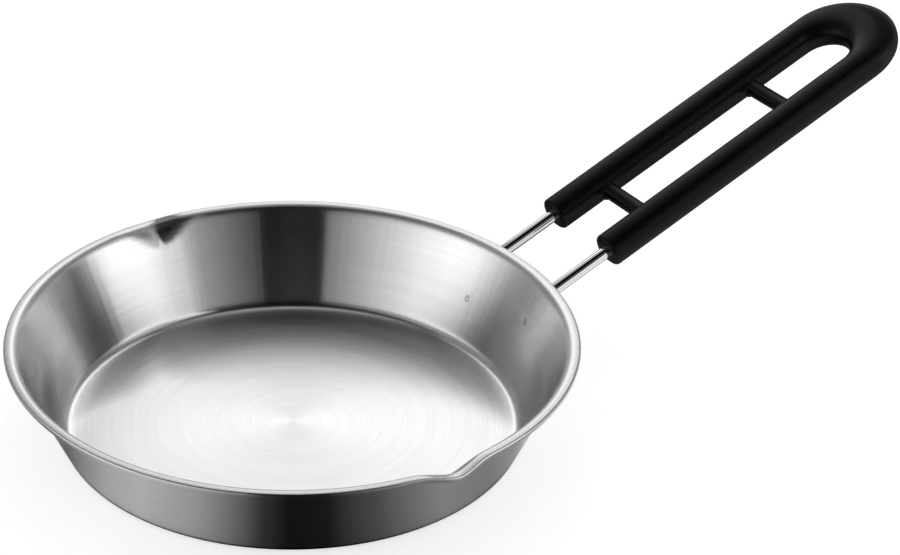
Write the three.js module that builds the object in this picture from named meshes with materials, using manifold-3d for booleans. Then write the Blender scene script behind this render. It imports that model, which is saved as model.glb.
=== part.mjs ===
// Egg pan: a shallow bowl pressed from stainless sheet, a handle bent from one steel wire and
// welded to the outside of the wall, and a black moulded grip round the wire.
// Millimetres, +Z up. The origin is the middle of the base's underside, and the handle points along +X.
import * as THREE from 'three';
import { mergeVertices } from 'three/addons/utils/BufferGeometryUtils.js';
import Module from 'manifold-3d';

// Bowl, pressed from one sheet
const RIM_DIAMETER = 179.6;
const BOWL_HEIGHT = 31.8;
const BASE_DIAMETER = 144.5;
const FLANGE_WIDTH = 3.1;
const SHEET_THICKNESS = 0.8;
const BASE_CORNER_RADIUS = 3.5;
const FLANGE_BEND_RADIUS = 3.2;
const EDGE_BEND_RADIUS = 1.1;

// Two pouring lips, pressed outward at right angles to the handle
const LIP_ANGLES = [Math.PI / 2, -Math.PI / 2];
const LIP_WIDTH = 19.5;
const LIP_DEPTH = 6.4;
const LIP_REACH = 2.3;
const LIP_DIP = 1.6;
const LIP_TIP_RADIUS = 1.8;
const LIP_EDGE_BLEND = 0.22;

// Handle wire, bent in one piece from one welded foot round the loop to the other
const WIRE_DIAMETER = 4;
const WIRE_SPACING = 29.2;
const HANDLE_SLOPE = THREE.MathUtils.degToRad(21.1);
const EDGE_CLEARANCE = 0.7;
const WIRE_BEND_RADIUS = 6;
const FOOT_LENGTH = 15;
const FOOT_SINK = 0.25;

// Grip, one moulded loop with two cross bars
const NECK_LENGTH = 23.8;
const GRIP_LENGTH = 135.1;
const GRIP_LEG_WIDTH = 11;
const GRIP_LEG_HEIGHT = 10.4;
const GRIP_SECTION_POWER = 2.5;
const GRIP_END_RADIUS = 1.4;
const GRIP_BOW_EXTRA = 7.2;
const BAR_OFFSETS = [20.1, 83.6];
const BAR_LENGTH = 3.9;
const BAR_HEIGHT = 3.8;
const BAR_DROP = 0.5;

// Gap left between touching pieces
const CLEARANCE = 0.3;

// Fineness of the facets
const ROUND_STEP = THREE.MathUtils.degToRad(4.2);
const LIP_STEPS = [0.06, 0.13, 0.22, 0.34, 0.48, 0.64, 0.8, 0.94, 1.08, 1.22];
const LIP_ROWS = [0, 0.25, 0.5, 0.75];
const WIRE_SIDES = 12;
const GRIP_SIDES = 24;
const LOOP_STEPS = 18;
const CORNER_STEPS = 4;

const wasm = await Module();
wasm.setup();

const RIM_RADIUS = RIM_DIAMETER / 2;
const SIDES = [1, -1];

// A skin over a row of rings with equal counts of points, closed at both ends by a fan of faces
// round the end ring's centre, with all faces pointing out.
function loft(rings) {
  const count = rings[0].length;
  const points = rings.flat();
  const faces = [];
  for (let ring = 0; ring + 1 < rings.length; ring += 1) {
    for (let side = 0; side < count; side += 1) {
      const next = (side + 1) % count;
      const a = ring * count + side;
      const b = ring * count + next;
      faces.push([a, b, b + count], [a, b + count, a + count]);
    }
  }
  const lastStart = (rings.length - 1) * count;
  const firstCentre = points.push(middle(rings[0])) - 1;
  const lastCentre = points.push(middle(rings.at(-1))) - 1;
  for (let side = 0; side < count; side += 1) {
    const next = (side + 1) % count;
    faces.push([firstCentre, next, side]);
    faces.push([lastCentre, lastStart + side, lastStart + next]);
  }
  if (signedVolume(points, faces) < 0) faces.forEach((face) => face.reverse());
  const geometry = new THREE.BufferGeometry().setFromPoints(points);
  geometry.setIndex(faces.flat());
  geometry.computeVertexNormals();
  return geometry;
}

function middle(ring) {
  return ring.reduce((sum, point) => sum.add(point), new THREE.Vector3()).divideScalar(ring.length);
}

function signedVolume(points, faces) {
  const cross = new THREE.Vector3();
  return faces.reduce((sum, [a, b, c]) => sum + points[a].dot(cross.crossVectors(points[b], points[c])) / 6, 0);
}

// Boolean cuts and joins
function toSolid(geometry) {
  const bare = geometry.clone();
  bare.deleteAttribute('normal');
  const merged = mergeVertices(bare, 1e-5);
  return new wasm.Manifold(new wasm.Mesh({
    numProp: 3,
    vertProperties: new Float32Array(merged.attributes.position.array),
    triVerts: new Uint32Array(merged.index.array),
  }));
}

function fromSolid(solid) {
  const mesh = solid.getMesh();
  const geometry = new THREE.BufferGeometry();
  geometry.setAttribute('position', new THREE.BufferAttribute(new Float32Array(mesh.vertProperties), 3));
  geometry.setIndex(Array.from(mesh.triVerts));
  geometry.computeVertexNormals();
  return geometry;
}

// The bowl's section, in radius and height. The middle of the sheet runs from the axis along the
// base, up the straight wall, out along the flange and down at its edge, with an arc at each corner.
const base = new THREE.Vector2(BASE_DIAMETER / 2, 0);
const wallTop = new THREE.Vector2(RIM_RADIUS - FLANGE_WIDTH, BOWL_HEIGHT - SHEET_THICKNESS);
const flangeMiddle = BOWL_HEIGHT - SHEET_THICKNESS / 2;
const wallUp = wallTop.clone().sub(base).normalize();

// Radius of the wall's outer face at a height, and moved out square to the wall
function wallRadius(height, outward = 0) {
  return base.x + (height * wallUp.x) / wallUp.y + outward / wallUp.y;
}

function sheetMiddle() {
  const half = SHEET_THICKNESS / 2;
  const baseCorner = new THREE.Vector2(wallRadius(half, -half), half);
  const topCorner = new THREE.Vector2(wallRadius(flangeMiddle, -half), flangeMiddle);
  const edgeCorner = new THREE.Vector2(RIM_RADIUS - half, flangeMiddle);
  const outward = new THREE.Vector2(1, 0);
  const downward = new THREE.Vector2(0, -1);
  const stations = [{ point: new THREE.Vector2(baseCorner.x / 2, half), along: outward }];
  stations.push(...roundCorner(baseCorner, outward, wallUp, BASE_CORNER_RADIUS - half));
  const bend = roundCorner(topCorner, wallUp, outward, FLANGE_BEND_RADIUS - half);
  const wallStart = stations.at(-1).point;
  const wallEnd = bend[0].point;
  const lipLow = flangeMiddle - LIP_DEPTH * (1 + LIP_EDGE_BLEND);
  const lipFoot = (lipLow - wallStart.y) / (wallEnd.y - wallStart.y);
  for (const share of LIP_ROWS) {
    const point = wallStart.clone().lerp(wallEnd, lipFoot + (1 - lipFoot) * share);
    stations.push({ point, along: wallUp });
  }
  return [...stations, ...bend, ...roundCorner(edgeCorner, outward, downward, EDGE_BEND_RADIUS - half)];
}

// Points on an arc that rounds the corner between two straight runs, each with its direction
function roundCorner(corner, before, after, radius) {
  const turn = Math.atan2(before.cross(after), before.dot(after));
  const reach = radius * Math.tan(Math.abs(turn) / 2);
  const start = corner.clone().addScaledVector(before, -reach);
  const side = Math.sign(turn);
  const centre = start.clone().add(new THREE.Vector2(-before.y, before.x).multiplyScalar(side * radius));
  return Array.from({ length: CORNER_STEPS + 1 }, (_, step) => {
    const angle = (turn * step) / CORNER_STEPS;
    const point = start.clone().rotateAround(centre, angle);
    return { point, along: before.clone().rotateAround(new THREE.Vector2(), angle) };
  });
}

// How far a place on the bowl is drawn into a pouring lip, from 0 to 1: a V with a rounded tip that
// is widest at the rim and runs out to a point down the wall.
function lipShare(angle, point) {
  const turnedEdge = point.x > RIM_RADIUS - EDGE_BEND_RADIUS;
  const rise = turnedEdge ? 1 : 1 - (flangeMiddle - point.y) / LIP_DEPTH;
  const shares = LIP_ANGLES.map((lipAngle) => {
    const turn = Math.abs(Math.atan2(Math.sin(angle - lipAngle), Math.cos(angle - lipAngle)));
    const along = Math.hypot(turn * RIM_RADIUS, LIP_TIP_RADIUS) - LIP_TIP_RADIUS;
    return blendedRamp(rise - along / (LIP_WIDTH / 2));
  });
  return Math.max(...shares);
}

// 0 below zero, the value above it, with a smooth change between
function blendedRamp(value) {
  if (value >= LIP_EDGE_BLEND) return value;
  if (value <= -LIP_EDGE_BLEND) return 0;
  return (value + LIP_EDGE_BLEND) ** 2 / (4 * LIP_EDGE_BLEND);
}

// Angles round the bowl, closer together across the pouring lips
function bowlAngles() {
  const reach = LIP_STEPS.at(-1) * (LIP_WIDTH / 2 / RIM_RADIUS);
  const span = Math.PI - 2 * reach;
  const plain = Math.ceil(span / ROUND_STEP);
  return LIP_ANGLES.flatMap((lipAngle) => {
    const across = [...LIP_STEPS.map((step) => -step).reverse(), 0, ...LIP_STEPS];
    const fine = across.map((step) => lipAngle + step * (LIP_WIDTH / 2 / RIM_RADIUS));
    const rest = Array.from({ length: plain - 1 }, (_, k) => lipAngle + reach + (span * (k + 1)) / plain);
    return [...fine, ...rest];
  });
}

// Both faces of the sheet, each spot kept with the point of the sheet's middle that it belongs to
function bowlOutline() {
  const half = SHEET_THICKNESS / 2;
  const stations = sheetMiddle();
  const face = (side) => stations.map(({ point, along }) => {
    const across = new THREE.Vector2(-along.y, along.x).multiplyScalar(side * half);
    return { spot: point.clone().add(across), point };
  });
  const { point, along } = stations.at(-1);
  const edge = { spot: point.clone().addScaledVector(along, half), point };
  return [...face(1), edge, ...face(-1).reverse()];
}

function bowlGeometry() {
  const angles = bowlAngles();
  return loft(bowlOutline().map(({ spot, point }) => angles.map((angle) => {
    const share = lipShare(angle, point);
    const radius = spot.x + LIP_REACH * share;
    const height = spot.y - LIP_DIP * share;
    return new THREE.Vector3(radius * Math.cos(angle), radius * Math.sin(angle), height);
  })));
}

// The handle's own plane: along the handle, across it and square up from it. Its start is on the
// wire's middle line, below the turned edge of the rim.
const rimEdgeX = Math.sqrt(RIM_RADIUS ** 2 - (WIRE_SPACING / 2) ** 2);
const edgeLow = BOWL_HEIGHT - EDGE_BEND_RADIUS - SHEET_THICKNESS / 2;
const wireUnderEdge = edgeLow - EDGE_CLEARANCE - WIRE_DIAMETER / 2 / Math.cos(HANDLE_SLOPE);
const alongHandle = new THREE.Vector3(Math.cos(HANDLE_SLOPE), 0, Math.sin(HANDLE_SLOPE));
const upFromHandle = new THREE.Vector3(-Math.sin(HANDLE_SLOPE), 0, Math.cos(HANDLE_SLOPE));
const handleStart = new THREE.Vector3(rimEdgeX, 0, wireUnderEdge);

function onHandle(along, across, up = 0) {
  const point = handleStart.clone().addScaledVector(alongHandle, along).addScaledVector(upFromHandle, up);
  point.y = across;
  return point;
}

// The wall's outer face in the upright plane of one wire, as a point and the direction down it
function wallLine() {
  const wallX = (height) => Math.sqrt(wallRadius(height) ** 2 - (WIRE_SPACING / 2) ** 2);
  const high = new THREE.Vector2(wallX(BOWL_HEIGHT), BOWL_HEIGHT);
  const low = new THREE.Vector2(wallX(0), 0);
  return { high, down: low.clone().sub(high).normalize() };
}

// Where the wire's straight run meets the line of its foot, a little less than its radius off the wall
const { high: wallHigh, down: wallDown } = wallLine();
const wallOut = new THREE.Vector2(-wallDown.y, wallDown.x);
const footStart = wallHigh.clone().addScaledVector(wallOut, WIRE_DIAMETER / 2 + CLEARANCE - FOOT_SINK);
const slope = new THREE.Vector2(alongHandle.x, alongHandle.z);
const fromFoot = new THREE.Vector2(handleStart.x, handleStart.z).sub(footStart);
const bendDistance = fromFoot.cross(slope) / wallDown.cross(slope);
const bendCorner = footStart.clone().addScaledVector(wallDown, bendDistance);

// Loop of the grip: its outer end is a half circle, and its opening ends in a smaller one set back,
// so that the bow between them is thicker than the legs. The wire's bend lies half way.
const gripStart = NECK_LENGTH;
const gripOuter = (WIRE_SPACING + GRIP_LEG_WIDTH) / 2;
const gripInner = (WIRE_SPACING - GRIP_LEG_WIDTH) / 2;
const bowCentre = gripStart + GRIP_LENGTH - gripOuter;
const openingCentre = bowCentre - GRIP_BOW_EXTRA;
const wireLoopCentre = (bowCentre + openingCentre) / 2;

// Middle line of one bare leg of the wire, from the end of its foot up to its straight run, with the
// direction at each point
function wireLeg() {
  const bend = roundCorner(bendCorner, slope.clone().negate(), wallDown, WIRE_BEND_RADIUS);
  const footEnd = bendCorner.clone().addScaledVector(wallDown, FOOT_LENGTH);
  return [{ point: footEnd, along: wallDown }, ...bend.reverse()].map(({ point, along }) => ({
    point: new THREE.Vector3(point.x, WIRE_SPACING / 2, point.y),
    along: new THREE.Vector3(-along.x, 0, -along.y),
  }));
}

// A leg, the wire's round bend at the end of the handle, and the same leg mirrored
function handlePath(leg) {
  const half = WIRE_SPACING / 2;
  const loop = Array.from({ length: LOOP_STEPS + 1 }, (_, step) => {
    const angle = (Math.PI * step) / LOOP_STEPS;
    const along = alongHandle.clone().multiplyScalar(Math.cos(angle));
    along.y = -Math.sin(angle);
    return { point: onHandle(wireLoopCentre + half * Math.sin(angle), half * Math.cos(angle)), along };
  });
  const back = leg.map(({ point, along }) => ({
    point: new THREE.Vector3(point.x, -point.y, point.z),
    along: new THREE.Vector3(-along.x, along.y, -along.z),
  }));
  return [...leg, ...loop, ...back.reverse()];
}

// Round rings square to a path. One axis of each ring is the path's own side direction: level
// across the handle on the legs, and turning with the loop in the handle's plane.
function roundRings(path, radius) {
  return path.map(({ point, along }) => {
    const side = Math.abs(along.y) > 1e-9
      ? new THREE.Vector3().crossVectors(upFromHandle, along).normalize()
      : new THREE.Vector3(0, along.x > 0 ? 1 : -1, 0);
    const up = new THREE.Vector3().crossVectors(along, side).normalize();
    return Array.from({ length: WIRE_SIDES }, (_, k) => {
      const angle = (2 * Math.PI * (k + 0.5)) / WIRE_SIDES;
      const spot = point.clone().addScaledVector(side, radius * Math.cos(angle));
      return spot.addScaledVector(up, radius * Math.sin(angle));
    });
  });
}

// The wire's feet are flattened where they are welded to the wall
function wireGeometry() {
  const wire = toSolid(loft(roundRings(handlePath(wireLeg()), WIRE_DIAMETER / 2)));
  const around = Math.ceil((2 * Math.PI) / ROUND_STEP);
  const widen = 1 / Math.cos(Math.PI / around);
  const cone = loft([0, BOWL_HEIGHT].map((height) => Array.from({ length: around }, (_, k) => {
    const radius = wallRadius(height, CLEARANCE) * widen;
    const angle = (2 * Math.PI * k) / around;
    return new THREE.Vector3(radius * Math.cos(angle), radius * Math.sin(angle), height);
  })));
  return fromSolid(wire.subtract(toSolid(cone)));
}

// A rounded four-sided outline between two points of the handle's plane
function gripRing(inner, outer, height) {
  const centre = inner.clone().add(outer).multiplyScalar(0.5);
  const reach = outer.clone().sub(inner).multiplyScalar(0.5);
  const power = 2 / GRIP_SECTION_POWER;
  return Array.from({ length: GRIP_SIDES }, (_, k) => {
    const angle = (2 * Math.PI * k) / GRIP_SIDES;
    const cos = Math.cos(angle);
    const sin = Math.sin(angle);
    const across = Math.sign(cos) * Math.abs(cos) ** power;
    const up = Math.sign(sin) * Math.abs(sin) ** power;
    return onHandle(centre.x + reach.x * across, centre.y + reach.y * across, (height / 2) * up);
  });
}

// Rings of one leg from its rounded end to the start of the bow
function gripLeg(side) {
  const ends = Array.from({ length: CORNER_STEPS + 1 }, (_, step) => {
    const angle = (Math.PI / 2) * (step / CORNER_STEPS);
    const along = gripStart + GRIP_END_RADIUS * (1 - Math.cos(angle));
    return { along, inset: GRIP_END_RADIUS * (1 - Math.sin(angle)) };
  });
  return ends.map(({ along, inset }) => gripRing(
    new THREE.Vector2(along, side * (gripInner + inset)),
    new THREE.Vector2(along, side * (gripOuter - inset)),
    GRIP_LEG_HEIGHT - 2 * inset,
  ));
}

function gripGeometry() {
  const bow = Array.from({ length: LOOP_STEPS + 1 }, (_, step) => {
    const angle = (Math.PI * step) / LOOP_STEPS;
    const inner = new THREE.Vector2(openingCentre + gripInner * Math.sin(angle), gripInner * Math.cos(angle));
    const outer = new THREE.Vector2(bowCentre + gripOuter * Math.sin(angle), gripOuter * Math.cos(angle));
    return gripRing(inner, outer, GRIP_LEG_HEIGHT);
  });
  const [left, right] = SIDES.map(gripLeg);
  let grip = toSolid(loft([...left, ...bow, ...right.reverse()]));
  for (const offset of BAR_OFFSETS) grip = grip.add(toSolid(barGeometry(gripStart + offset)));
  const mouth = { point: onHandle(gripStart - GRIP_END_RADIUS, WIRE_SPACING / 2), along: alongHandle };
  const tunnel = loft(roundRings(handlePath([mouth]), WIRE_DIAMETER / 2 + CLEARANCE));
  return fromSolid(grip.subtract(toSolid(tunnel)));
}

// A cross bar between the middles of the legs, with its corners rounded like theirs
function barGeometry(along) {
  const power = 2 / GRIP_SECTION_POWER;
  return loft(SIDES.map((side) => Array.from({ length: GRIP_SIDES }, (_, k) => {
    const angle = (2 * Math.PI * k) / GRIP_SIDES;
    const cos = Math.cos(angle);
    const sin = Math.sin(angle);
    const forward = (BAR_LENGTH / 2) * Math.sign(cos) * Math.abs(cos) ** power;
    const up = (BAR_HEIGHT / 2) * Math.sign(sin) * Math.abs(sin) ** power;
    return onHandle(along + forward, (side * WIRE_SPACING) / 2, up - BAR_DROP);
  })));
}

function piece(name, geometry, color, roughness, metalness) {
  const mesh = new THREE.Mesh(geometry, new THREE.MeshStandardMaterial({ color, roughness, metalness }));
  mesh.name = name;
  return mesh;
}

const eggPan = new THREE.Group();
eggPan.add(piece('pan_bowl', bowlGeometry(), 0xc9cac8, 0.32, 1));
eggPan.add(piece('handle_wire', wireGeometry(), 0xdcdddc, 0.15, 1));
eggPan.add(piece('grip', gripGeometry(), 0x1b1b1b, 0.45, 0));

export default eggPan;
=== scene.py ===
# Egg pan: a spun stainless bowl with two pouring lips, a bent wire handle welded to its wall and a
# black moulded grip on the wire. Sizes are written in millimetres, and finished meshes are in metres.
import math
import bpy
from mathutils import Matrix, Vector


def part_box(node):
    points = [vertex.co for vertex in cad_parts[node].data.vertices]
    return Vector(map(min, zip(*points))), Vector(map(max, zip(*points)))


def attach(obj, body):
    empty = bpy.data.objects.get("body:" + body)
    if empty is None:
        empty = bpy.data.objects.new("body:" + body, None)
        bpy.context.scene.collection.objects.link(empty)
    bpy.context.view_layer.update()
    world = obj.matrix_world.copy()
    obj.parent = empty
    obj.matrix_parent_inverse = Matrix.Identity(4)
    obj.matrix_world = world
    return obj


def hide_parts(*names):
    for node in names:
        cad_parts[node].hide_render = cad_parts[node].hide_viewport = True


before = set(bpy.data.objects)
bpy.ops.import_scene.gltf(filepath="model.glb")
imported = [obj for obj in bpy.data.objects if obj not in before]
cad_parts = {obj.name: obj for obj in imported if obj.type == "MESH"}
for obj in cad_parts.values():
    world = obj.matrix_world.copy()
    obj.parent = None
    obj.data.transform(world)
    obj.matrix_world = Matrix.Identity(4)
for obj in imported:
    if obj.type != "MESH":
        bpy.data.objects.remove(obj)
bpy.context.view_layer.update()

# Bowl
# One disc of stainless sheet, spun over a former: a flat base, a rounded corner, a sloping wall and a
# narrow flange with its edge turned down. The two pouring lips are pressed outward afterwards.
MM = 0.001
_, bowl_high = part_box("pan_bowl")
RIM_RADIUS = bowl_high.x / MM
BOWL_HEIGHT = bowl_high.z / MM
LIP_REACH = bowl_high.y / MM - RIM_RADIUS
BASE_RADIUS = 72.25
FLANGE_WIDTH = 3.1
SHEET = 0.8
BASE_CORNER_RADIUS = 3.5
FLOOR_CORNER_RADIUS = 3.6
FLANGE_BEND_RADIUS = 2.9
EDGE_DEPTH = 1.5
EDGE_BEND_RADIUS = 0.6
EDGE_INNER_BEND_RADIUS = 0.1
EDGE_RADIUS = 0.3
LIP_WIDTH = 18.5
LIP_DEPTH = 5.8
LIP_DIP = 1.6
LIP_TIP_RADIUS = 2.2
LIP_EDGE_BLEND = 0.6
ROW_SPACING = 1.3
ROUND_STEPS = 440
CORNER_STEPS = 7
SEAM_GAP = 0.01

# Angles round the bowl are drawn towards the lips, where the sheet bends most
LIP_CROWDING = 0.3


def linear(colour):
    """An sRGB hex colour as linear red, green, blue and alpha."""
    shares = [int(colour[k:k + 2], 16) / 255 for k in (1, 3, 5)]
    return [s / 12.92 if s <= 0.04045 else ((s + 0.055) / 1.055) ** 2.4 for s in shares] + [1]


def add(tree, kind, inputs=None, **settings):
    """Adds a node with its settings, and fills its inputs with values or links from nodes and sockets."""
    node = tree.nodes.new(kind)
    for name, value in settings.items():
        setattr(node, name, value)
    for key, value in (inputs or {}).items():
        if isinstance(value, bpy.types.Node):
            value = value.outputs[0]
        if isinstance(value, bpy.types.NodeSocket):
            tree.links.new(value, node.inputs[key])
        else:
            node.inputs[key].default_value = value
    return node


def new_material(name):
    """A new material with its tree and its principled shader."""
    material = bpy.data.materials.new(name)
    material.use_nodes = True
    shader = material.node_tree.nodes["Principled BSDF"]
    return material, material.node_tree, shader


def new_tree(name, sizes, counts=()):
    """An empty geometry tree with named inputs, and the sockets that give them."""
    tree = bpy.data.node_groups.new(name, "GeometryNodeTree")
    kinds = {"Geometry": "NodeSocketGeometry", "Material": "NodeSocketMaterial"}
    kinds.update({size: "NodeSocketFloat" for size in sizes})
    kinds.update({count: "NodeSocketInt" for count in counts})
    for socket, kind in kinds.items():
        tree.interface.new_socket(socket, in_out="INPUT", socket_type=kind)
    tree.interface.new_socket("Geometry", in_out="OUTPUT", socket_type="NodeSocketGeometry")
    return tree, tree.nodes.new("NodeGroupInput").outputs


def end_tree(tree, geometry, material):
    """Closes a geometry tree: real faces, smooth, with their material."""
    smooth = add(tree, "GeometryNodeSetShadeSmooth", {"Geometry": geometry})
    real = add(tree, "GeometryNodeRealizeInstances", {"Geometry": smooth})
    painted = add(tree, "GeometryNodeSetMaterial", {"Geometry": real, "Material": material})
    add(tree, "NodeGroupOutput", {"Geometry": painted})


def new_object(name, points, edges, faces):
    """An object in the scene with a mesh of these points, edges and faces."""
    mesh = bpy.data.meshes.new(name)
    mesh.from_pydata(points, edges, faces)
    piece = bpy.data.objects.new(name, mesh)
    bpy.context.scene.collection.objects.link(piece)
    return piece


def set_point_values(piece, name, kind, field, values):
    """Stores a named value at each of a piece's points, for its tree to read."""
    piece.data.attributes.new(name, kind, "POINT").data.foreach_set(field, values)


def run_tree(piece, tree, values):
    """Runs a geometry tree on a piece with these values for its named inputs."""
    modifier = piece.modifiers.new(tree.name, "NODES")
    modifier.node_group = tree
    for socket in tree.interface.items_tree:
        if socket.in_out == "INPUT" and socket.name in values:
            modifier[socket.identifier] = values[socket.name]


def make_plain(piece):
    """Turns a piece and its modifiers into a plain mesh in metres."""
    evaluated = piece.evaluated_get(bpy.context.evaluated_depsgraph_get())
    mesh = bpy.data.meshes.new_from_object(evaluated)
    mesh.transform(Matrix.Scale(MM, 4))
    piece.modifiers.clear()
    piece.data = mesh


wall_slope = (RIM_RADIUS - FLANGE_WIDTH - BASE_RADIUS) / (BOWL_HEIGHT - SHEET)


def wall_radius(height, outward=0):
    """Radius of the wall's outer face at a height, moved out square to the wall."""
    return BASE_RADIUS + height * wall_slope + outward * math.hypot(wall_slope, 1)


# Stainless steel brushed on the lathe: fine scratches run round the bowl, so each reflection is drawn
# out up and down the wall into upright bands, and on the floor towards the middle. Real scratches are
# a few hundredths of a millimetre wide, too fine to show, so they are drawn much wider.
STEEL_DARK = "#c9caca"
STEEL_LIGHT = "#dcdddd"
SCRATCH_WIDTH = 0.8
SCRATCH_HEIGHT = 0.0008
SCRATCH_STRENGTH = 0.1
BAND_WIDTH = 4.0

# Radius, in noise cells, of the circle that the noise is read on: a smaller one gives longer streaks
SCRATCH_CIRCLE = 1.2
BAND_CIRCLE = 0.7

# Where scratches lie close the steel is duller, between these two roughnesses
GRAIN_LOW = 0.1
GRAIN_HIGH = 0.4
SHARP_ROUGHNESS = 0.17
BLURRED_ROUGHNESS = 0.187

# The rim is handled most and is rubbed duller, at this place along the section from the floor's middle
RIM_SECTION = 107.3
RIM_HALF = 3.4
RIM_BORDER = 1
RIM_DULLNESS = 0.04

# Chatter: the spinning tool leaves faint waves round the wall, which break its bands into upright streaks
CHATTER_WIDTH = 2.5
CHATTER_HEIGHT = 0.02
CHATTER_FADE = 4

# The scratches' direction turned by a quarter of a turn is the way in which they stretch a reflection
QUARTER_TURN = 0.25

steel, nodes, shader = new_material("brushed_stainless")
place = add(nodes, "ShaderNodeTexCoord").outputs["Object"]
around = add(nodes, "ShaderNodeVectorMath", {0: (0, 0, 1), 1: place}, operation="CROSS_PRODUCT")
heading = add(nodes, "ShaderNodeVectorMath", {0: around}, operation="NORMALIZE")
section = add(nodes, "ShaderNodeAttribute", attribute_name="section").outputs["Fac"]


def streaks(width, circle, detail):
    """Noise drawn out round the bowl, this wide along the section."""
    across = add(nodes, "ShaderNodeMath", {0: section, 1: width}, operation="DIVIDE")
    lifted = add(nodes, "ShaderNodeCombineXYZ", {"Z": across})
    spread = add(nodes, "ShaderNodeVectorMath", {0: heading, "Scale": circle}, operation="SCALE")
    spot = add(nodes, "ShaderNodeVectorMath", {0: spread, 1: lifted}, operation="ADD")
    return add(nodes, "ShaderNodeTexNoise", {"Vector": spot, "Scale": 1, "Detail": detail})


scratches = streaks(SCRATCH_WIDTH, SCRATCH_CIRCLE, 2)
bands = streaks(BAND_WIDTH, BAND_CIRCLE, 1)
tone = add(nodes, "ShaderNodeMix",
           {"Factor": scratches, "A": linear(STEEL_DARK), "B": linear(STEEL_LIGHT)}, data_type="RGBA")
grain = add(nodes, "ShaderNodeMath", {0: scratches, 1: bands}, operation="MULTIPLY")
dullness = add(nodes, "ShaderNodeMapRange",
               {0: grain, 1: GRAIN_LOW, 2: GRAIN_HIGH, 3: SHARP_ROUGHNESS, 4: BLURRED_ROUGHNESS})
off_rim = add(nodes, "ShaderNodeMath", {0: section, 1: RIM_SECTION}, operation="SUBTRACT")
off_rim_size = add(nodes, "ShaderNodeMath", {0: off_rim}, operation="ABSOLUTE")
rim_dullness = add(nodes, "ShaderNodeMapRange",
                   {0: off_rim_size, 1: RIM_HALF, 2: RIM_HALF + RIM_BORDER, 3: RIM_DULLNESS, 4: 0})
rubbed = add(nodes, "ShaderNodeMath", {0: dullness, 1: rim_dullness}, operation="ADD")
chatter_turn = add(nodes, "ShaderNodeVectorMath",
                   {0: heading, "Scale": RIM_RADIUS / CHATTER_WIDTH}, operation="SCALE")
waves = add(nodes, "ShaderNodeTexNoise", {"Vector": chatter_turn, "Scale": 1, "Detail": 2})
on_wall = add(nodes, "ShaderNodeMapRange", {0: section, 1: BASE_RADIUS, 2: BASE_RADIUS + CHATTER_FADE})
wall_waves = add(nodes, "ShaderNodeMath", {0: waves, 1: on_wall}, operation="MULTIPLY")
chatter = add(nodes, "ShaderNodeBump",
              {"Height": wall_waves, "Strength": 1, "Distance": CHATTER_HEIGHT * MM})
relief = add(nodes, "ShaderNodeBump",
             {"Normal": chatter, "Height": scratches, "Strength": SCRATCH_STRENGTH,
              "Distance": SCRATCH_HEIGHT * MM})
shader.inputs["Metallic"].default_value = 1
shader.inputs["Anisotropic"].default_value = 1
shader.inputs["Anisotropic Rotation"].default_value = QUARTER_TURN
nodes.links.new(tone.outputs["Result"], shader.inputs["Base Color"])
nodes.links.new(rubbed.outputs[0], shader.inputs["Roughness"])
nodes.links.new(relief.outputs[0], shader.inputs["Normal"])
nodes.links.new(around.outputs[0], shader.inputs["Tangent"])

# The sheet's section, from the middle of the floor over the rim to the middle of the underside
floor_edge = wall_radius(SHEET, -SHEET)
rim_edge = wall_radius(BOWL_HEIGHT, -SHEET)
under_rim = wall_radius(BOWL_HEIGHT - SHEET)
edge_low = BOWL_HEIGHT - EDGE_DEPTH
section_points = [
    (0, 0, SHEET),
    (floor_edge, 0, SHEET),
    (rim_edge, 0, BOWL_HEIGHT),
    (RIM_RADIUS, 0, BOWL_HEIGHT),
    (RIM_RADIUS, 0, edge_low),
    (RIM_RADIUS - SHEET, 0, edge_low),
    (RIM_RADIUS - SHEET, 0, BOWL_HEIGHT - SHEET),
    (under_rim, 0, BOWL_HEIGHT - SHEET),
    (BASE_RADIUS, 0, 0),
    (0, 0, 0),
]
section_corners = [
    0,
    FLOOR_CORNER_RADIUS,
    FLANGE_BEND_RADIUS,
    EDGE_BEND_RADIUS,
    EDGE_RADIUS,
    EDGE_RADIUS,
    EDGE_INNER_BEND_RADIUS,
    FLANGE_BEND_RADIUS - SHEET,
    BASE_CORNER_RADIUS,
    0,
]
section_edges = [(k, k + 1) for k in range(len(section_points) - 1)]
bowl = new_object("spun_bowl", section_points, section_edges, [])
set_point_values(bowl, "corner_radius", "FLOAT", "value", section_corners)

# The tree rounds the section's corners, cuts it into short rows and spins it round the axis
lip_sizes = ["Rim Radius", "Rim Height", "Edge Start", "Lip Width", "Lip Depth", "Lip Reach", "Lip Dip",
             "Lip Tip Radius", "Lip Edge Blend", "Lip Crowding", "Row Spacing", "Seam Gap"]
spin, given = new_tree("spin_and_press_lips", lip_sizes, ["Round Steps", "Corner Steps"])
line = add(spin, "GeometryNodeMeshToCurve", {"Mesh": given["Geometry"]})
corner = add(spin, "GeometryNodeInputNamedAttribute", {"Name": "corner_radius"}, data_type="FLOAT")
rounded = add(spin, "GeometryNodeFilletCurve",
              {"Curve": line, "Count": given["Corner Steps"], "Radius": corner, "Limit Radius": True},
              mode="POLY")
index = add(spin, "GeometryNodeInputIndex")
reached = add(spin, "GeometryNodeSplineParameter").outputs["Length"]
following = add(spin, "ShaderNodeMath", {0: index, 1: 1}, operation="ADD")
reached_next = add(spin, "GeometryNodeFieldAtIndex", {"Value": reached, "Index": following},
                   data_type="FLOAT")
span = add(spin, "ShaderNodeMath", {0: reached_next, 1: reached}, operation="SUBTRACT")
cuts = add(spin, "ShaderNodeMath", {0: span, 1: given["Row Spacing"]}, operation="DIVIDE")
rows = add(spin, "GeometryNodeSubdivideCurve", {"Curve": rounded, "Cuts": cuts})
row_count = add(spin, "GeometryNodeAttributeDomainSize", {"Geometry": rows}, component="CURVE")
columns = add(spin, "ShaderNodeMath", {0: given["Round Steps"], 1: 1}, operation="ADD")
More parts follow.
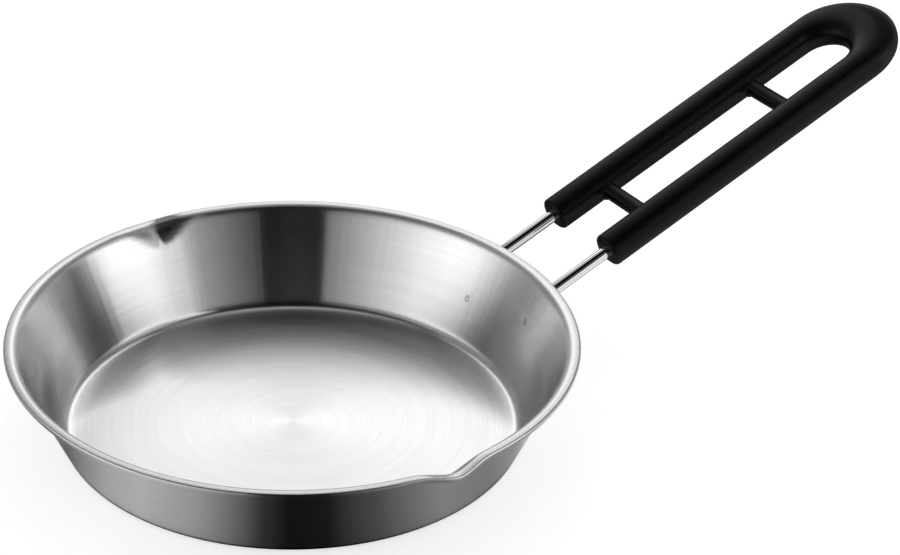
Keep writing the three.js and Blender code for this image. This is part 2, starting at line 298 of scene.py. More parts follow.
sheet = add(spin, "GeometryNodeMeshGrid", {"Vertices X": columns, "Vertices Y": row_count})

# Each vertex takes the radius and height of its row, and turns by its column
row = add(spin, "ShaderNodeMath", {0: index, 1: row_count}, operation="MODULO")
column_part = add(spin, "ShaderNodeMath", {0: index, 1: row_count}, operation="DIVIDE")
column = add(spin, "ShaderNodeMath", {0: column_part}, operation="FLOOR")
spot = add(spin, "GeometryNodeSampleIndex",
           {"Geometry": rows, "Value": add(spin, "GeometryNodeInputPosition"), "Index": row},
           data_type="FLOAT_VECTOR")
along_section = add(spin, "GeometryNodeSampleIndex", {"Geometry": rows, "Value": reached, "Index": row})
spot_parts = add(spin, "ShaderNodeSeparateXYZ", {0: spot}).outputs
turn = add(spin, "ShaderNodeMapRange", {0: column, 2: given["Round Steps"], 4: math.tau})
double_turn = add(spin, "ShaderNodeMath", {0: turn, 1: 2}, operation="MULTIPLY")
swing = add(spin, "ShaderNodeMath", {0: double_turn}, operation="SINE")
angle = add(spin, "ShaderNodeMath", {0: swing, 1: given["Lip Crowding"], 2: turn},
            operation="MULTIPLY_ADD")
cosine = add(spin, "ShaderNodeMath", {0: angle}, operation="COSINE")
sine = add(spin, "ShaderNodeMath", {0: angle}, operation="SINE")

# A pouring lip is a V with a rounded tip, widest at the rim, that runs out to a point down the wall
cosine_size = add(spin, "ShaderNodeMath", {0: cosine}, operation="ABSOLUTE")
sine_size = add(spin, "ShaderNodeMath", {0: sine}, operation="ABSOLUTE")
off_lip = add(spin, "ShaderNodeMath", {0: cosine_size, 1: sine_size}, operation="ARCTAN2")
across = add(spin, "ShaderNodeMath", {0: off_lip, 1: given["Rim Radius"]}, operation="MULTIPLY")
across_tip = add(spin, "ShaderNodeCombineXYZ", {"X": across, "Y": given["Lip Tip Radius"]})
slant = add(spin, "ShaderNodeVectorMath", {0: across_tip}, operation="LENGTH").outputs["Value"]
rounded_across = add(spin, "ShaderNodeMath", {0: slant, 1: given["Lip Tip Radius"]},
                     operation="SUBTRACT")
half_width = add(spin, "ShaderNodeMath", {0: given["Lip Width"], 1: 2}, operation="DIVIDE")
fall = add(spin, "ShaderNodeMath", {0: rounded_across, 1: half_width}, operation="DIVIDE")
lip_foot = add(spin, "ShaderNodeMath", {0: given["Rim Height"], 1: given["Lip Depth"]},
               operation="SUBTRACT")
on_edge = add(spin, "ShaderNodeMath", {0: spot_parts["X"], 1: given["Edge Start"]},
              operation="GREATER_THAN")
level = add(spin, "ShaderNodeMix", {"Factor": on_edge, "A": spot_parts["Z"], "B": given["Rim Height"]})
climb = add(spin, "ShaderNodeMapRange", {0: level, 1: lip_foot, 2: given["Rim Height"]}, clamp=False)
rise = add(spin, "ShaderNodeMath", {0: climb, 1: 1}, operation="MINIMUM")
steep = add(spin, "ShaderNodeMath", {0: rise, 1: fall}, operation="SUBTRACT")
share = add(spin, "ShaderNodeMath", {0: steep, 1: 0, 2: given["Lip Edge Blend"]},
            operation="SMOOTH_MAX")
radius = add(spin, "ShaderNodeMath", {0: share, 1: given["Lip Reach"], 2: spot_parts["X"]},
             operation="MULTIPLY_ADD")
dip = add(spin, "ShaderNodeMath", {0: share, 1: given["Lip Dip"]}, operation="MULTIPLY")
lowered = add(spin, "ShaderNodeMath", {0: spot_parts["Z"], 1: dip}, operation="SUBTRACT")
out_x = add(spin, "ShaderNodeMath", {0: radius, 1: cosine}, operation="MULTIPLY")
out_y = add(spin, "ShaderNodeMath", {0: radius, 1: sine}, operation="MULTIPLY")
pressed = add(spin, "ShaderNodeCombineXYZ", {"X": out_x, "Y": out_y, "Z": lowered})
spun = add(spin, "GeometryNodeSetPosition", {"Geometry": sheet, "Position": pressed})
marked = add(spin, "GeometryNodeStoreNamedAttribute",
             {"Geometry": spun, "Name": "section", "Value": along_section}, data_type="FLOAT")
closed = add(spin, "GeometryNodeMergeByDistance", {"Geometry": marked, "Distance": given["Seam Gap"]})
end_tree(spin, closed, given["Material"])
run_tree(bowl, spin, {
    "Rim Radius": RIM_RADIUS,
    "Rim Height": BOWL_HEIGHT - SHEET,
    "Edge Start": RIM_RADIUS - SHEET - EDGE_INNER_BEND_RADIUS,
    "Lip Width": LIP_WIDTH,
    "Lip Depth": LIP_DEPTH,
    "Lip Reach": LIP_REACH,
    "Lip Dip": LIP_DIP,
    "Lip Tip Radius": LIP_TIP_RADIUS,
    "Lip Edge Blend": LIP_EDGE_BLEND,
    "Lip Crowding": LIP_CROWDING,
    "Row Spacing": ROW_SPACING,
    "Seam Gap": SEAM_GAP,
    "Round Steps": ROUND_STEPS,
    "Corner Steps": CORNER_STEPS,
    "Material": steel,
})
make_plain(bowl)
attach(bowl, "root")
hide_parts("pan_bowl")

# Weld marks
# Two spot welds hold the wire's feet to the outside of the wall. Inside, each leaves a small oval
# crater, where the electrode pressed the hot sheet in and a thin ring of metal rose round it.
WIRE_SPACING = 29.2
MARK_HEIGHTS = [14.7, 19.6]
MARK_LENGTH = 2.4
MARK_WIDTH = 2.2
MARK_RING_HEIGHT = 0.06
MARK_FLOOR_HEIGHT = 0.02
MARK_SINK = 0.2
MARK_RING_SHARE = 0.7
MARK_SIDES = 28
MARK_RINGS = 20
wire_side = WIRE_SPACING / 2

# Steel that was molten for a moment: smooth, with a thin film of scale in patches, so that it is a
# little darker than the brushed sheet round it.
WELD_DARK = "#b2b2b1"
WELD_LIGHT = "#c2c2c1"
WELD_ROUGHNESS = 0.28
SCALE_PATCH_SIZE = 0.5
welded, nodes, shader = new_material("spot_welded_steel")
place = add(nodes, "ShaderNodeTexCoord").outputs["Object"]
scale_film = add(nodes, "ShaderNodeTexNoise",
                 {"Vector": place, "Scale": 1 / SCALE_PATCH_SIZE / MM, "Detail": 1})
weld_tone = add(nodes, "ShaderNodeMix",
                {"Factor": scale_film, "A": linear(WELD_DARK), "B": linear(WELD_LIGHT)}, data_type="RGBA")
shader.inputs["Metallic"].default_value = 1
shader.inputs["Roughness"].default_value = WELD_ROUGHNESS
nodes.links.new(weld_tone.outputs["Result"], shader.inputs["Base Color"])

mark_points = []
facing_values = []
for side, height in zip((1, -1), MARK_HEIGHTS):
    mark_radius = wall_radius(height, -SHEET)
    mark_ahead = math.sqrt(mark_radius ** 2 - wire_side ** 2)
    mark_points.append((mark_ahead, side * wire_side, height))
    facing_values += [-mark_ahead / mark_radius, -side * wire_side / mark_radius, wall_slope]
marks = new_object("weld_marks", mark_points, [], [])
set_point_values(marks, "facing", "FLOAT_VECTOR", "vector", facing_values)

# A ball is pressed to a ring with a hollow on its upper side and a flat on its lower side
mark_sizes = ["Length", "Width", "Ring Height", "Floor Height", "Sink", "Ring Share"]
crater, given = new_tree("press_weld_marks", mark_sizes, ["Sides", "Rings"])
ball = add(crater, "GeometryNodeMeshUVSphere",
           {"Segments": given["Sides"], "Rings": given["Rings"], "Radius": 1})
parts = add(crater, "ShaderNodeSeparateXYZ", {0: add(crater, "GeometryNodeInputPosition")}).outputs
level = add(crater, "ShaderNodeCombineXYZ", {"X": parts["X"], "Y": parts["Y"]})
reach = add(crater, "ShaderNodeVectorMath", {0: level}, operation="LENGTH").outputs["Value"]
off_ring = add(crater, "ShaderNodeMath", {0: reach, 1: given["Ring Share"]}, operation="SUBTRACT")
off_ring_size = add(crater, "ShaderNodeMath", {0: off_ring}, operation="ABSOLUTE")
ring_half = add(crater, "ShaderNodeMath", {0: 1, 1: given["Ring Share"]}, operation="SUBTRACT")
swell = add(crater, "ShaderNodeMapRange",
            {0: off_ring_size, 1: ring_half, 2: 0, 3: given["Floor Height"], 4: given["Ring Height"]},
            interpolation_type="SMOOTHSTEP")
below = add(crater, "ShaderNodeMath", {0: parts["Z"], 1: 0}, operation="LESS_THAN")
sunk = add(crater, "ShaderNodeMath", {0: given["Sink"], 1: -1}, operation="MULTIPLY")
pressed_height = add(crater, "ShaderNodeMix", {"Factor": below, "A": swell, "B": sunk})
half_length = add(crater, "ShaderNodeMath", {0: given["Length"], 1: 2}, operation="DIVIDE")
half_width = add(crater, "ShaderNodeMath", {0: given["Width"], 1: 2}, operation="DIVIDE")
out_x = add(crater, "ShaderNodeMath", {0: parts["X"], 1: half_length}, operation="MULTIPLY")
out_y = add(crater, "ShaderNodeMath", {0: parts["Y"], 1: half_width}, operation="MULTIPLY")
spot = add(crater, "ShaderNodeCombineXYZ", {"X": out_x, "Y": out_y, "Z": pressed_height})
mark = add(crater, "GeometryNodeSetPosition", {"Geometry": ball, "Position": spot})
facing = add(crater, "GeometryNodeInputNamedAttribute", {"Name": "facing"}, data_type="FLOAT_VECTOR")
turned = add(crater, "FunctionNodeAlignRotationToVector", {"Vector": facing}, axis="Z")
dots = add(crater, "GeometryNodeMeshToPoints", {"Mesh": given["Geometry"]})
placed = add(crater, "GeometryNodeInstanceOnPoints",
             {"Points": dots, "Instance": mark, "Rotation": turned})
end_tree(crater, placed, given["Material"])
run_tree(marks, crater, {
    "Length": MARK_LENGTH,
    "Width": MARK_WIDTH,
    "Ring Height": MARK_RING_HEIGHT,
    "Floor Height": MARK_FLOOR_HEIGHT,
    "Sink": MARK_SINK,
    "Ring Share": MARK_RING_SHARE,
    "Sides": MARK_SIDES,
    "Rings": MARK_RINGS,
    "Material": welded,
})
make_plain(marks)
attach(marks, "root")

# Handle wire
# One round stainless wire, drawn, polished and bent to a long U. Its two feet turn down along the
# outside of the wall, below the flange, where they are pressed flat and spot welded.
WIRE_DIAMETER = 4
HANDLE_SLOPE = math.radians(21.1)
EDGE_CLEARANCE = 0.7
WIRE_BEND_RADIUS = 6
FOOT_LENGTH = 15
FOOT_SINK = 0.25
NECK_LENGTH = 23.8
GRIP_LENGTH = 135.1
GRIP_LEG_WIDTH = 11.0
GRIP_BOW_EXTRA = 7.2
WIRE_SIDES = 40
BEND_STEPS = 14
grip_outer = (WIRE_SPACING + GRIP_LEG_WIDTH) / 2
grip_inner = (WIRE_SPACING - GRIP_LEG_WIDTH) / 2
bow_centre = NECK_LENGTH + GRIP_LENGTH - grip_outer
opening_centre = bow_centre - GRIP_BOW_EXTRA
wire_loop_end = (bow_centre + opening_centre) / 2 + wire_side

# The handle's own plane starts on the wire's middle line, below the turned edge of the rim
handle_start = Vector((
    math.sqrt(RIM_RADIUS ** 2 - wire_side ** 2),
    0,
    edge_low - EDGE_CLEARANCE - WIRE_DIAMETER / 2 / math.cos(HANDLE_SLOPE),
))
along_handle = Vector((math.cos(HANDLE_SLOPE), 0, math.sin(HANDLE_SLOPE)))
up_from_handle = Vector((-math.sin(HANDLE_SLOPE), 0, math.cos(HANDLE_SLOPE)))


def on_handle(along, across, up=0):
    """A point of the handle: along it, across it and square up from it."""
    return handle_start + along_handle * along + up_from_handle * up + Vector((0, across, 0))


def wall_point(height):
    """A point of the wall's outer face in the plane of a foot, moved to the middle of the handle."""
    return Vector((math.sqrt(wall_radius(height) ** 2 - wire_side ** 2), 0, height))


# The foot's middle line lies a little less than the wire's radius off the wall
wall_high = wall_point(BOWL_HEIGHT)
wall_down = (wall_point(0) - wall_high).normalized()
wall_out = Vector((-wall_down.z, 0, wall_down.x))
foot_line = wall_high + wall_out * (WIRE_DIAMETER / 2 - FOOT_SINK)
bend_back = (foot_line - handle_start).dot(wall_out) / along_handle.dot(wall_out)
bend_corner = handle_start + along_handle * bend_back
foot_end = bend_corner + wall_down * FOOT_LENGTH

# Bright drawn stainless wire: near a mirror, with faint lengthwise die marks that blur it a little.
# Real die marks are too fine to show, so they are drawn wider.
WIRE_DARK = "#ececeb"
WIRE_LIGHT = "#f4f4f3"
BRIGHT_ROUGHNESS = 0.05
MARKED_ROUGHNESS = 0.1
DIE_MARK_WIDTH = 0.6
DIE_MARK_LENGTH = 50
DIE_MARK_RISE = 5
NOISE_LOW = 0.3
NOISE_HIGH = 0.7
die_mark_scale = (1 / DIE_MARK_LENGTH / MM, 1 / DIE_MARK_WIDTH / MM, 1 / DIE_MARK_RISE / MM)
polished, nodes, shader = new_material("polished_stainless_wire")
place = add(nodes, "ShaderNodeTexCoord").outputs["Object"]
drawn = add(nodes, "ShaderNodeMapping", {"Vector": place, "Scale": die_mark_scale})
die_marks = add(nodes, "ShaderNodeTexNoise", {"Vector": drawn, "Scale": 1, "Detail": 2})
gloss = add(nodes, "ShaderNodeMapRange",
            {0: die_marks, 1: NOISE_LOW, 2: NOISE_HIGH, 3: BRIGHT_ROUGHNESS, 4: MARKED_ROUGHNESS})
wire_tone = add(nodes, "ShaderNodeMix",
                {"Factor": die_marks, "A": linear(WIRE_DARK), "B": linear(WIRE_LIGHT)}, data_type="RGBA")
shader.inputs["Metallic"].default_value = 1
nodes.links.new(gloss.outputs[0], shader.inputs["Roughness"])
nodes.links.new(wire_tone.outputs["Result"], shader.inputs["Base Color"])

wire_points = []
wire_corners = []
for side in (1, -1):
    half = [
        (foot_end + Vector((0, side * wire_side, 0)), 0),
        (bend_corner + Vector((0, side * wire_side, 0)), WIRE_BEND_RADIUS),
        (on_handle(wire_loop_end, side * wire_side), wire_side),
    ]
    for point, corner_size in half[::side]:
        wire_points.append(point)
        wire_corners.append(corner_size)
wire_edges = [(k, k + 1) for k in range(len(wire_points) - 1)]
wire = new_object("bent_wire", wire_points, wire_edges, [])
set_point_values(wire, "corner_radius", "FLOAT", "value", wire_corners)

# The tree rounds the bends and draws the wire along them
bend, given = new_tree("bend_wire", ["Wire Radius", "Wall Slope", "Wall Base Radius"],
                       ["Wire Sides", "Bend Steps"])
line = add(bend, "GeometryNodeMeshToCurve", {"Mesh": given["Geometry"]})
corner = add(bend, "GeometryNodeInputNamedAttribute", {"Name": "corner_radius"}, data_type="FLOAT")
path = add(bend, "GeometryNodeFilletCurve",
           {"Curve": line, "Count": given["Bend Steps"], "Radius": corner, "Limit Radius": True},
           mode="POLY")
ring = add(bend, "GeometryNodeCurvePrimitiveCircle",
           {"Resolution": given["Wire Sides"], "Radius": given["Wire Radius"]})
tube = add(bend, "GeometryNodeCurveToMesh", {"Curve": path, "Profile Curve": ring, "Fill Caps": True})

# What would lie inside the wall is pressed flat against it
spot_now = add(bend, "GeometryNodeInputPosition")
parts = add(bend, "ShaderNodeSeparateXYZ", {0: spot_now}).outputs
level = add(bend, "ShaderNodeVectorMath", {0: spot_now, 1: (1, 1, 0)}, operation="MULTIPLY")
distance = add(bend, "ShaderNodeVectorMath", {0: level}, operation="LENGTH").outputs["Value"]
wall_here = add(bend, "ShaderNodeMath",
                {0: parts["Z"], 1: given["Wall Slope"], 2: given["Wall Base Radius"]},
                operation="MULTIPLY_ADD")
least = add(bend, "ShaderNodeMath", {0: wall_here, 1: distance}, operation="MAXIMUM")
stretch = add(bend, "ShaderNodeMath", {0: least, 1: distance}, operation="DIVIDE")
pushed = add(bend, "ShaderNodeVectorMath", {0: level, "Scale": stretch}, operation="SCALE")
kept_height = add(bend, "ShaderNodeCombineXYZ", {"Z": parts["Z"]})
pressed = add(bend, "ShaderNodeVectorMath", {0: pushed, 1: kept_height}, operation="ADD")
flattened = add(bend, "GeometryNodeSetPosition", {"Geometry": tube, "Position": pressed})
end_tree(bend, flattened, given["Material"])
run_tree(wire, bend, {
    "Wire Radius": WIRE_DIAMETER / 2,
    "Wall Slope": wall_slope,
    "Wall Base Radius": BASE_RADIUS,
    "Wire Sides": WIRE_SIDES,
    "Bend Steps": BEND_STEPS,
    "Material": polished,
})
make_plain(wire)
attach(wire, "root")
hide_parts("handle_wire")

# Grip
# One black heat-resistant resin moulding, shot round the wire: two legs with rounded edges, a thicker
# bow at the end for a hook, and two thin bars that keep the legs apart.
GRIP_LEG_HEIGHT = 10.4
GRIP_SECTION_POWER = 2.5
GRIP_END_RADIUS = 1.4
BAR_OFFSETS = [19.95, 83.2]
BAR_LENGTH = 5.3
BAR_HEIGHT = 5.2
BAR_DROP = 0.6
BAR_FILLET = 0.9
GRIP_SIDES = 56
BOW_STEPS = 56
END_STEPS = 8
BAR_SIDES = 24
FILLET_STEPS = 6
SHARP_EDGE_ANGLE = math.radians(40)

# Glass-filled resin from a sparked mould: black and satin, with a fine even grain of pits that softens
# highlights, and soft patches where the mould was hotter. The real grain is about a tenth of a
# millimetre, too fine to show, so it is drawn coarser.
RESIN_DARK = "#060606"
RESIN_LIGHT = "#0a0a0a"
GRAIN_SIZE = 0.5
PIT_DEPTH = 0.02
PIT_STRENGTH = 0.25
PATCH_SIZE = 12
SMOOTH_ROUGHNESS = 0.3
SATIN_ROUGHNESS = 0.38
RESIN_SPECULAR = 0.13
resin, nodes, shader = new_material("black_moulded_resin")
place = add(nodes, "ShaderNodeTexCoord").outputs["Object"]
speckle = add(nodes, "ShaderNodeTexNoise", {"Vector": place, "Scale": 1 / GRAIN_SIZE / MM, "Detail": 2})
patches = add(nodes, "ShaderNodeTexNoise", {"Vector": place, "Scale": 1 / PATCH_SIZE / MM, "Detail": 1})
satin = add(nodes, "ShaderNodeMapRange",
            {0: patches, 1: NOISE_LOW, 2: NOISE_HIGH, 3: SMOOTH_ROUGHNESS, 4: SATIN_ROUGHNESS})
resin_tone = add(nodes, "ShaderNodeMix",
                 {"Factor": speckle, "A": linear(RESIN_DARK), "B": linear(RESIN_LIGHT)}, data_type="RGBA")
pits = add(nodes, "ShaderNodeBump",
           {"Height": speckle, "Strength": PIT_STRENGTH, "Distance": PIT_DEPTH * MM})
shader.inputs["Specular IOR Level"].default_value = RESIN_SPECULAR
nodes.links.new(resin_tone.outputs["Result"], shader.inputs["Base Color"])
nodes.links.new(satin.outputs[0], shader.inputs["Roughness"])
nodes.links.new(pits.outputs[0], shader.inputs["Normal"])


def rounded_square(step, steps):
    """A point of a rounded four-sided outline, each way from -1 to 1. A power of 2 gives an ellipse,
    and a higher one a squarer outline."""
    turn = math.tau * step / steps
    power = 2 / GRIP_SECTION_POWER
    ways = (math.cos(turn), math.sin(turn))
    return [math.copysign(abs(way) ** power, way) for way in ways]


def skin(name, rings):
    """A closed mesh over a row of rings with equal counts of points."""
    count = len(rings[0])
    points = [point for ring_points in rings for point in ring_points]
    faces = [list(range(count))[::-1], list(range(len(points) - count, len(points)))]
    for start in range(0, len(points) - count, count):
        for k in range(count):
            beside = (k + 1) % count
            faces.append((start + k, start + beside, start + count + beside, start + count + k))
    return new_object(name, points, [], faces)


def grip_ring(inner, outer, height):
    """An outline of the grip between two places in the handle's plane, each given along and across."""
    ring_points = []
    for k in range(GRIP_SIDES):
        across_share, up_share = rounded_square(k, GRIP_SIDES)
        along = (inner[0] + outer[0]) / 2 + (outer[0] - inner[0]) / 2 * across_share
        across_grip = (inner[1] + outer[1]) / 2 + (outer[1] - inner[1]) / 2 * across_share
        ring_points.append(on_handle(along, across_grip, height / 2 * up_share))
    return ring_points


def leg_rings(side):
    """Rings of one leg's rounded end, from its tip on."""
    rings = []
    for step in range(END_STEPS + 1):
        angle_now = math.pi / 2 * step / END_STEPS
        along = NECK_LENGTH + GRIP_END_RADIUS * (1 - math.cos(angle_now))
        inset = GRIP_END_RADIUS * (1 - math.sin(angle_now))
        inner = (along, side * (grip_inner + inset))
        outer = (along, side * (grip_outer - inset))
        rings.append(grip_ring(inner, outer, GRIP_LEG_HEIGHT - 2 * inset))
    return rings


def bow_ring(angle_now):
    """A ring of the bow, between its outer half circle and the smaller, set-back one of the opening."""
    ahead = math.sin(angle_now)
    beside = math.cos(angle_now)
    inner = (opening_centre + grip_inner * ahead, grip_inner * beside)
    outer = (bow_centre + grip_outer * ahead, grip_outer * beside)
    return grip_ring(inner, outer, GRIP_LEG_HEIGHT)


def bar_ring(along_middle, across_bar):
    """A ring of a cross bar, which widens into a fillet where it runs into the legs."""
    near_leg = max(0, BAR_FILLET - (grip_inner - abs(across_bar)))
    flare = BAR_FILLET - math.sqrt(max(0, BAR_FILLET ** 2 - min(near_leg, BAR_FILLET) ** 2))
    ring_points = []
    for k in range(BAR_SIDES):
        forward, up = rounded_square(k, BAR_SIDES)
        along = along_middle + (BAR_LENGTH / 2 + flare) * forward
        ring_points.append(on_handle(along, across_bar, (BAR_HEIGHT / 2 + flare) * up - BAR_DROP))
    return ring_points


bow = [bow_ring(math.pi * step / BOW_STEPS) for step in range(BOW_STEPS + 1)]
grip = skin("moulded_grip", [*leg_rings(1), *bow, *leg_rings(-1)[::-1]])

# A bar runs from one leg's wire to the other's, with its rings close together in the fillets
bar_places = [0, grip_inner - BAR_FILLET]
for step in range(1, FILLET_STEPS):
    fillet_angle = math.pi / 2 * step / FILLET_STEPS
    bar_places.append(grip_inner - BAR_FILLET * (1 - math.sin(fillet_angle)))
bar_places.append(wire_side)
bar_places = [-place_across for place_across in bar_places[:0:-1]] + bar_places
bars = []
for number, offset in enumerate(BAR_OFFSETS):
    bar_rings = [bar_ring(NECK_LENGTH + offset, across_bar) for across_bar in bar_places]
    bar = skin(f"bar_{number}", bar_rings)
    joined = grip.modifiers.new(f"bar_{number}", "BOOLEAN")
    joined.operation = "UNION"
    joined.object = bar
    bars.append(bar)
make_plain(grip)
for bar in bars:
    bpy.data.objects.remove(bar)
grip.data.materials.append(resin)
grip.data.shade_smooth()
grip.data.set_sharp_from_angle(angle=SHARP_EDGE_ANGLE)
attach(grip, "root")
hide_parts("grip")

# Studio
# A white paper floor in a white room, with one soft lamp at the back. Thin black cloths hang round the
# table and lie on it, where only gloss sees them: they give the steel its bands. The ones on the table
# also paint, for gloss only, the pan's contact shadow and the shade it and the handle throw on the floor.

# The studio's sizes are in metres, but the camera's place and aim are in millimetres
FLOOR_SIZE = 8
FLOOR_DROP = 0.0002
CAMERA_PLACE = (-456.2, -730.5, 541.8)
CAMERA_AIM = (53.0, -8.85, 41.1)
camera_azimuth = math.atan2(CAMERA_AIM[0] - CAMERA_PLACE[0], CAMERA_AIM[1] - CAMERA_PLACE[1])

# Light of the floor and the room, where 1 is white
WHITE = (1, 1, 1, 1)
FLOOR_COLOUR = "#c9c9c9"
FLOOR_GLOW = 0.7
AMBIENT = 0.6
ROOM_GLOSS = 2


def empty_nodes(owner):
    """The tree of a material or world, with nothing in it yet."""
    owner.use_nodes = True
    owner.node_tree.nodes.clear()
    return owner.node_tree


def shown_rays(nodes):
    """A socket that is 1 on what the camera, gloss and glass see, and 0 on soft light."""
    rays = add(nodes, "ShaderNodeLightPath").outputs
    seen = add(nodes, "ShaderNodeMath", {0: rays["Is Camera Ray"], 1: rays["Is Glossy Ray"]},
               operation="MAXIMUM")
    return add(nodes, "ShaderNodeMath", {0: seen, 1: rays["Is Transmission Ray"]}, operation="MAXIMUM")


# Matt paper: it takes the pan's soft shadow, and its own white glow shows as the photograph's background
paper = bpy.data.materials.new("white_paper")
nodes = empty_nodes(paper)
glow_strength = add(nodes, "ShaderNodeMath", {0: shown_rays(nodes), 1: FLOOR_GLOW}, operation="MULTIPLY")
glow = add(nodes, "ShaderNodeEmission", {"Color": WHITE, "Strength": glow_strength})
matt = add(nodes, "ShaderNodeBsdfDiffuse", {"Color": linear(FLOOR_COLOUR)})
both = add(nodes, "ShaderNodeAddShader", {0: glow, 1: matt})
add(nodes, "ShaderNodeOutputMaterial", {"Surface": both})
half_floor = FLOOR_SIZE / 2
floor_sides = [(-1, -1), (1, -1), (1, 1), (-1, 1)]
floor_corners = [(x * half_floor, y * half_floor, -FLOOR_DROP) for x, y in floor_sides]
paper_floor = new_object("studio_floor", floor_corners, [], [(0, 1, 2, 3)])
paper_floor.data.materials.append(paper)

# The room is white to the camera, softer as a light, and brighter to gloss, which sees it past the cloths
world = bpy.data.worlds.new("studio")
bpy.context.scene.world = world
nodes = empty_nodes(world)
rays = add(nodes, "ShaderNodeLightPath").outputs
plain = add(nodes, "ShaderNodeMapRange", {0: shown_rays(nodes), 3: AMBIENT, 4: 1})
strength = add(nodes, "ShaderNodeMix", {"Factor": rays["Is Glossy Ray"], "A": plain, "B": ROOM_GLOSS})
sky = add(nodes, "ShaderNodeBackground", {"Color": WHITE, "Strength": strength})
add(nodes, "ShaderNodeOutputWorld", {"Surface": sky})


# Thin black cloth: it takes light away and gives none back, and where it is open the white room shows
def cloth(name, sides, heights):
    """A cloth's material, open to the room by shares that follow the bearing from the camera, positive
    to the right, and the height angle, both in degrees."""
    material = bpy.data.materials.new(name)
    nodes = empty_nodes(material)
    place = add(nodes, "ShaderNodeTexCoord").outputs["Object"]
    turned = add(nodes, "ShaderNodeVectorRotate", {"Vector": place, "Angle": camera_azimuth},
                 rotation_type="Z_AXIS")
    parts = add(nodes, "ShaderNodeSeparateXYZ", {0: turned}).outputs
    towards = add(nodes, "ShaderNodeMath", {0: parts["Y"], 1: -1}, operation="MULTIPLY")
    bearing = add(nodes, "ShaderNodeMath", {0: parts["X"], 1: towards}, operation="ARCTAN2")
    flat = add(nodes, "ShaderNodeVectorMath", {0: place, 1: (1, 1, 0)}, operation="MULTIPLY")
    reach = add(nodes, "ShaderNodeVectorMath", {0: flat}, operation="LENGTH").outputs["Value"]
    climb = add(nodes, "ShaderNodeMath", {0: parts["Z"], 1: reach}, operation="ARCTAN2")
    openness = 1
    for angle, stops in ((bearing, sides), (climb, heights)):
        low = stops[0][0]
        high = stops[-1][0]
        degrees = add(nodes, "ShaderNodeMath", {0: angle}, operation="DEGREES")
        share = add(nodes, "ShaderNodeMapRange", {0: degrees, 1: low, 2: high})
        shade = add(nodes, "ShaderNodeValToRGB", {"Fac": share})
        elements = shade.color_ramp.elements
        while len(elements) < len(stops):
            elements.new(1)
        for element, (stop, grey) in zip(elements, stops):
            element.position = (stop - low) / (high - low)
            element.color = (grey, grey, grey, 1)
        openness = add(nodes, "ShaderNodeMath", {0: openness, 1: shade}, operation="MULTIPLY")
    black = add(nodes, "ShaderNodeEmission", {"Strength": 0})
    clear = add(nodes, "ShaderNodeBsdfTransparent")
    mixed = add(nodes, "ShaderNodeMixShader", {0: openness, 1: black, 2: clear})
    add(nodes, "ShaderNodeOutputMaterial", {"Surface": mixed})
    return material


CLOTH_COLUMNS = 72


def place_cloth(name, circles, sides, heights):
    """A cloth over a row of circles round the pan, each a radius and a height, which only gloss sees."""
    points = []
    for radius, height in circles:
        for k in range(CLOTH_COLUMNS):
            turn = math.tau * k / CLOTH_COLUMNS
            points.append((radius * math.cos(turn), radius * math.sin(turn), height))
    faces = []
    for first in range(0, len(points) - CLOTH_COLUMNS, CLOTH_COLUMNS):
        above = first + CLOTH_COLUMNS
        for k in range(CLOTH_COLUMNS):
            beside = (k + 1) % CLOTH_COLUMNS
            faces.append((first + k, first + beside, above + beside, above + k))
    piece = new_object(name, points, [], faces)
    piece.data.materials.append(cloth(name, sides, heights))
    piece.visible_camera = False
    piece.visible_diffuse = False
    piece.visible_shadow = False
    piece.visible_transmission = False
    piece.visible_volume_scatter = False


# The hanging cloths make a dome: a low one all round, a high one over it and one over the top. All are
# black on the camera's side, for the dark band, and open at both sides, for the bright ones.
CLOTH_RADIUS = 1.7
CLOTH_STEP = 6
LOW_TOP = 24
HIGH_TOP = 60
ZENITH = 90
LOW_SIDES = [
    (-180, 0.29), (-160, 0.26), (-122, 0.13), (-104, 0.27), (-82, 0.92), (-70, 1), (-58, 0.9),
    (-12, 0.24), (-10, 0.006), (16.5, 0.006), (18.5, 0.07), (45, 0.33), (60, 0.6), (72, 1), (84, 1),
    (95, 0.9), (101, 0.4), (128, 0.14), (165, 0.33), (180, 0.29),
]
LOW_HEIGHTS = [(0, 1), (LOW_TOP, 1)]
HIGH_SIDES = [
    (-180, 0.06), (-165, 0.12), (-145, 0.15), (-125, 0.14), (-100, 0.19), (-88, 0.19), (-75, 0.23),
    (-40, 0.16), (-10, 0.01), (16, 0.006), (53, 0.05), (56, 0.6), (72, 0.6), (76, 0.3), (100, 0.35),
    (122, 0.05), (142, 0.15), (165, 0.15), (180, 0.06),
]
HIGH_HEIGHTS = [(LOW_TOP, 0.9), (34, 1), (54, 0.9), (HIGH_TOP, 0.1)]
TOP_SIDES = [(-180, 0.3), (-150, 0.25), (-110, 0), (110, 0), (150, 0.25), (180, 0.3)]
TOP_HEIGHTS = [(HIGH_TOP, 0.8), (64, 1), (75, 1), (83, 0), (ZENITH, 0)]
for name, low_climb, high_climb, sides, heights in [
    ("low_cloth", 0, LOW_TOP, LOW_SIDES, LOW_HEIGHTS),
    ("high_cloth", LOW_TOP, HIGH_TOP, HIGH_SIDES, HIGH_HEIGHTS),
    ("top_cloth", HIGH_TOP, ZENITH, TOP_SIDES, TOP_HEIGHTS),
]:
    climbs = [math.radians(degrees) for degrees in range(low_climb, high_climb + 1, CLOTH_STEP)]
    dome = [(CLOTH_RADIUS * math.cos(climb), CLOTH_RADIUS * math.sin(climb)) for climb in climbs]
    place_cloth(name, dome, sides, heights)
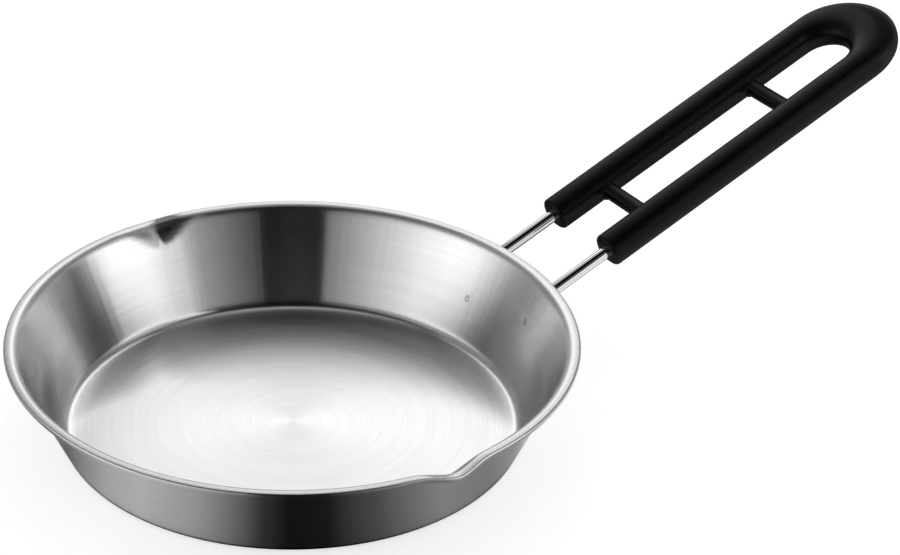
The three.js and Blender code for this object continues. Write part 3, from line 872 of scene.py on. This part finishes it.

# The cloth on the table, a flat ring round the pan, and inside it a black ring under the base's round
# corner, which paints the pan's contact shadow there for gloss only
CONTACT_SHADOW_INNER = 0.05
CONTACT_SHADOW_OUTER = 0.0732
TABLE_CLOTH_OUTER = 1.6
# The table cloth's darkest parts, on the camera's side and behind the handle, are also painted shadow:
# the shade that the pan and handle throw on the floor next to them, as gloss sees it
TABLE_CLOTH_AND_SHADOW_SIDES = [
    (-180, 0.2), (-150, 0.2), (-90, 0.5), (-70, 0.16), (-62, 0.3), (-50, 0.55), (-38, 0.65),
    (-22, 0.47), (-5, 0.05), (2, 0.01), (12, 0.015), (25, 0.11), (43, 0.33), (60, 0.27), (75, 0.4),
    (86, 0.85), (112, 0.85), (120, 0.3), (140, 0.12), (165, 0.1), (180, 0.2),
]
CONTACT_SHADOW_SIDES = [(-180, 0), (180, 0)]
ALL_HEIGHTS = [(0, 1), (ZENITH, 1)]
for name, inner_radius, outer_radius, sides in [
    ("painted_contact_shadow", CONTACT_SHADOW_INNER, CONTACT_SHADOW_OUTER, CONTACT_SHADOW_SIDES),
    ("table_cloth_and_floor_shadow", CONTACT_SHADOW_OUTER, TABLE_CLOTH_OUTER, TABLE_CLOTH_AND_SHADOW_SIDES),
]:
    flat_ring = [(inner_radius, -FLOOR_DROP / 2), (outer_radius, -FLOOR_DROP / 2)]
    place_cloth(name, flat_ring, sides, ALL_HEIGHTS)

# The lamp, behind the pan as the camera sees it: its brightness is that of its face, where 1 is white
LAMP_DISTANCE = 0.55
LAMP_BEARING = math.radians(180)
LAMP_CLIMB = math.radians(36)
LAMP_WIDTH = 0.28
LAMP_HEIGHT = 0.27
LAMP_BRIGHTNESS = 1.44
lamp_area = math.pi / 4 * LAMP_WIDTH * LAMP_HEIGHT
lamp_data = bpy.data.lights.new("back_lamp", "AREA")
lamp_data.shape = "ELLIPSE"
lamp_data.size = LAMP_WIDTH
lamp_data.size_y = LAMP_HEIGHT
lamp_data.energy = LAMP_BRIGHTNESS * math.pi * lamp_area
lamp = bpy.data.objects.new("back_lamp", lamp_data)
bpy.context.scene.collection.objects.link(lamp)
lamp_turn = -camera_azimuth + LAMP_BEARING
lamp_way = Vector((math.sin(lamp_turn), -math.cos(lamp_turn), 0)) * math.cos(LAMP_CLIMB)
lamp_way.z = math.sin(LAMP_CLIMB)
lamp.location = lamp_way * LAMP_DISTANCE
lamp.rotation_euler = (-lamp_way).to_track_quat("-Z", "Y").to_euler()

# Camera
# It stands where the photograph was taken from, with the photograph's framing at 900 by 555.
CAMERA_ROLL = math.radians(1.548)
FOCAL_LENGTH = 128.13
SENSOR_WIDTH = 36
camera_data = bpy.data.cameras.new("camera")
camera_data.sensor_width = SENSOR_WIDTH
camera_data.lens = FOCAL_LENGTH
camera = bpy.data.objects.new("camera", camera_data)
bpy.context.scene.collection.objects.link(camera)
camera.location = Vector(CAMERA_PLACE) * MM
look = (Vector(CAMERA_AIM) - Vector(CAMERA_PLACE)).to_track_quat("-Z", "Y").to_matrix().to_4x4()
camera.rotation_euler = (look @ Matrix.Rotation(CAMERA_ROLL, 4, "Z")).to_euler()
bpy.context.scene.camera = camera
bpy.context.scene.view_settings.view_transform = "Standard"
